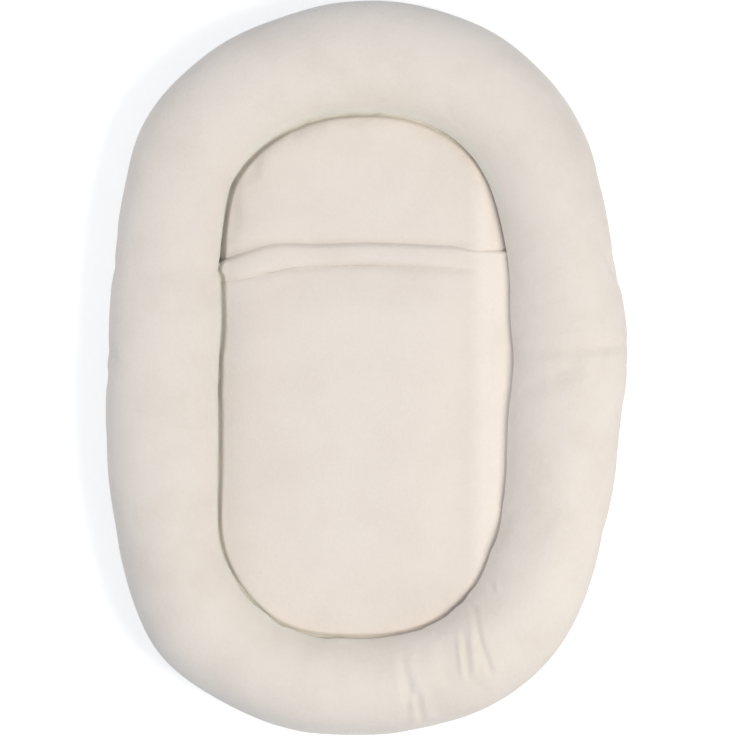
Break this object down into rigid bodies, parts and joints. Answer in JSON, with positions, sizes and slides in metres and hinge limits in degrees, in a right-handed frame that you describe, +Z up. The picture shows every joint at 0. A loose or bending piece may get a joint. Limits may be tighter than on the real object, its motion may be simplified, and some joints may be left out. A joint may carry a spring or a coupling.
{
  "type": "infant lounger",
  "caption": "Oval infant lounger: soft fleece bolster ring round a removable pad with a lined sleeping pocket, and a zip in its base.",
  "frame": {"origin": "middle of the outline, at floor level", "axes": "+Y towards the head end, +Z up, +X to the right as seen from above with the head end at the top"},
  "size_m": [0.6096, 0.8497, 0.1198],
  "materials": {
    "fleece": "brushed fleece",
    "pad_fleece": "brushed fleece",
    "cotton": "plain weave",
    "nonwoven": "non-woven lining",
    "fibre": "loose polyester fibre",
    "foam": "open-cell foam",
    "zip_fabric": "woven zip tape",
    "zip_plastic": "moulded nylon",
    "zip_metal": "satin nickel"
  },
  "bodies": {
    "bolster": {"bolster_cover": "fleece", "base_panel": "cotton", "well_floor": "cotton", "roll_bag": "nonwoven", "roll_filling": "fibre", "zip_tape_left": "zip_fabric", "zip_tape_right": "zip_fabric", "zip_coil_left": "zip_plastic", "zip_coil_right": "zip_plastic", "zip_stop_head": "zip_metal", "zip_stop_foot": "zip_metal"},
    "pad": {"pad_core": "foam", "pad_cover_top": "pad_fleece", "pad_cover_bottom": "cotton"},
    "pocket": {"pocket_lining": "cotton", "pocket_wadding": "fibre", "pocket_sheet": "pad_fleece", "pocket_cuff": "pad_fleece"},
    "slider": {"zip_slider": "zip_metal"},
    "pull": {"zip_pull": "zip_metal"}
  },
  "joints": [
    {"name": "pad_lift", "type": "slide", "parent": "bolster", "child": "pad", "axis": [0, 0, 1], "range_m": [0, 0.16]},
    {"name": "pocket_lift", "type": "hinge", "parent": "pad", "child": "pocket", "pos_m": [-0.0045, -0.308, 0.0379], "axis": [1, 0, 0], "range_deg": [0, 8]},
    {"name": "zip_slide", "type": "slide", "parent": "bolster", "child": "slider", "axis": [0, 1, 0], "range_m": [0, 0.357]},
    {"name": "zip_pull_swing", "type": "hinge", "parent": "slider", "child": "pull", "pos_m": [-0.0045, -0.1889, 0.0064], "axis": [-1, 0, 0], "range_deg": [0, 180]}
  ]
}
